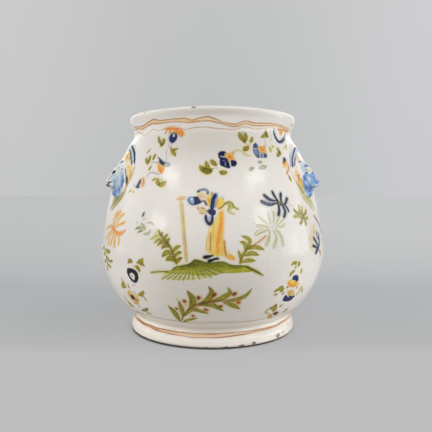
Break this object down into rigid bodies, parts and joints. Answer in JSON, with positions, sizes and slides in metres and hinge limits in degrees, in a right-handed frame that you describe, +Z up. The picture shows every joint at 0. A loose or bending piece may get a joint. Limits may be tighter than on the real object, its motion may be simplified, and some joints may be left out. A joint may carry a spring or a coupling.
{
  "type": "baluster vase",
  "caption": "Tin-glazed earthenware baluster vase with a low foot ring, full belly, lion masks luted on the shoulder and a short neck flaring to a rolled lip; holds cut flowers.",
  "frame": {"origin": "on the floor, in the middle of the foot's resting ring", "axes": "+Z up along the vase's axis, the painted figure faces -Y, +X to the right of someone who looks at the figure"},
  "size_m": [0.2574, 0.2574, 0.24],
  "materials": {
    "foot_glaze": "glossy tin glaze, worn to bare clay along the bottom edge",
    "lower_glaze": "glossy white tin glaze with painted sprigs",
    "upper_glaze": "glossy white tin glaze with painted sprigs and a figure",
    "neck_glaze": "glossy white tin glaze with banded rim and two small chips",
    "mask_glaze": "glossy tin glaze painted blue, ochre and green"
  },
  "bodies": {
    "root": {"foot_ring": "foot_glaze", "lower_body": "lower_glaze", "upper_body": "upper_glaze", "neck_collar": "neck_glaze", "mask_right": "mask_glaze", "mask_back": "mask_glaze", "mask_left": "mask_glaze"}
  },
  "joints": []
}
